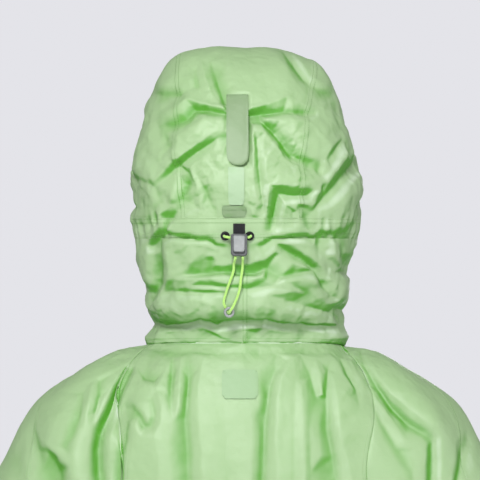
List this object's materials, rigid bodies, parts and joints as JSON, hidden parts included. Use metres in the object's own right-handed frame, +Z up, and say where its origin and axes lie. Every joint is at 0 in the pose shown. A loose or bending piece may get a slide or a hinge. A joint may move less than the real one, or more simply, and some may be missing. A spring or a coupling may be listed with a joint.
{
  "type": "hooded rain jacket, worn",
  "caption": "Hooded raglan rain jacket with the hood up, worn and hollow, with a rear drawcord, cord lock, hanging tab and front zip.",
  "frame": {"origin": "centre of the neck opening, level with the neck seam at the centre back", "axes": "+Z up the wearer's body, +Y towards the back of the jacket, +X towards the wearer's left"},
  "size_m": [0.7988, 0.2713, 1.0735],
  "materials": {
    "shell": "thin coated nylon, satin",
    "tab_cloth": "doubled nylon, satin",
    "pale_cloth": "light nylon, satin",
    "cord": "braided elastic, bright",
    "webbing": "woven, matte",
    "plastic": "moulded, satin",
    "zip_tape": "woven tape"
  },
  "bodies": {
    "jacket": {"back": "shell", "front_left": "shell", "front_right": "shell", "sleeve_back_left": "shell", "sleeve_back_right": "shell", "sleeve_front_left": "shell", "sleeve_front_right": "shell", "hood_centre": "shell", "hood_side_left": "shell", "hood_side_right": "shell", "hood_channel": "shell", "hood_neck_left": "shell", "hood_neck_right": "shell", "back_patch": "shell", "hood_tab": "tab_cloth", "hem_patch": "tab_cloth", "loop_strip": "pale_cloth", "webbing_loop": "webbing", "lock_body": "plastic", "eyelet_left": "plastic", "eyelet_right": "plastic", "cord_feed_left": "cord", "cord_feed_right": "cord", "cord_loop": "cord", "cord_ring": "plastic", "zip_tape_left": "zip_tape", "zip_tape_right": "zip_tape", "zip_slider": "plastic", "zip_box": "plastic"},
    "plate": {"lock_plate": "plastic"},
    "pull": {"zip_pull": "plastic"}
  },
  "joints": [
    {"name": "plate_press", "type": "slide", "parent": "jacket", "child": "plate", "axis": [0, 0, -1], "range_m": [0, 0.0015], "stiffness_N_per_m": 400},
    {"name": "pull_swing", "type": "hinge", "parent": "jacket", "child": "pull", "pos_m": [0, -0.12634, 0.046], "axis": [-1, 0, 0], "range_deg": [0, 150]}
  ]
}
